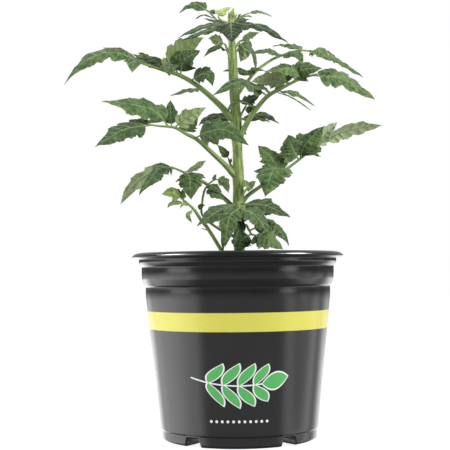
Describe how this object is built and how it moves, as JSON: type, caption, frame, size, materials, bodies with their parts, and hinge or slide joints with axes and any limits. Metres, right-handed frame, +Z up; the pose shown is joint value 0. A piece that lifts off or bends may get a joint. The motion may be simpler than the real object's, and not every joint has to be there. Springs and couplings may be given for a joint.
{
  "type": "potted tomato plant",
  "caption": "Young bushy tomato plant with toothed compound leaves on one upright stem, rooted in soil in a round black nursery pot with a flared lip.",
  "frame": {"origin": "middle of the pot's foot, on the surface that the pot stands on", "axes": "+Z up along the pot's axis; -Y towards the viewer of the picture, the front; +X to that viewer's right"},
  "size_m": [0.1753, 0.1233, 0.2424],
  "materials": {
    "pot_plastic": "satin black thin moulded plastic with a plain yellow stripe",
    "soil": "crumbly dark brown peat mix",
    "stem": "soft light green stem with fine hairs",
    "leaf": "matte mid green leaf with sunken veins and a paler underside",
    "young_leaf": "matte yellow green young leaf"
  },
  "bodies": {
    "root": {"pot": "pot_plastic", "soil": "soil", "stem": "stem", "leaf_upper_left": "leaf", "leaf_mid_left": "leaf", "leaf_low_left": "leaf", "leaf_young_left": "leaf", "side_shoot": "young_leaf", "leaf_mid_right": "leaf", "leaf_upper_right": "leaf", "leaf_back_right": "leaf", "leaf_back": "leaf", "leaf_top_left": "leaf", "leaf_top_front": "leaf", "leaf_top_right": "leaf", "leaf_crown_left": "leaf", "leaf_crown_right": "leaf", "growing_tip": "young_leaf", "leaf_front_low": "leaf", "leaf_bottom_front": "leaf", "axil_shoot_left": "leaf", "axil_shoot_right": "young_leaf", "axil_shoot_upper": "leaf"}
  },
  "joints": []
}
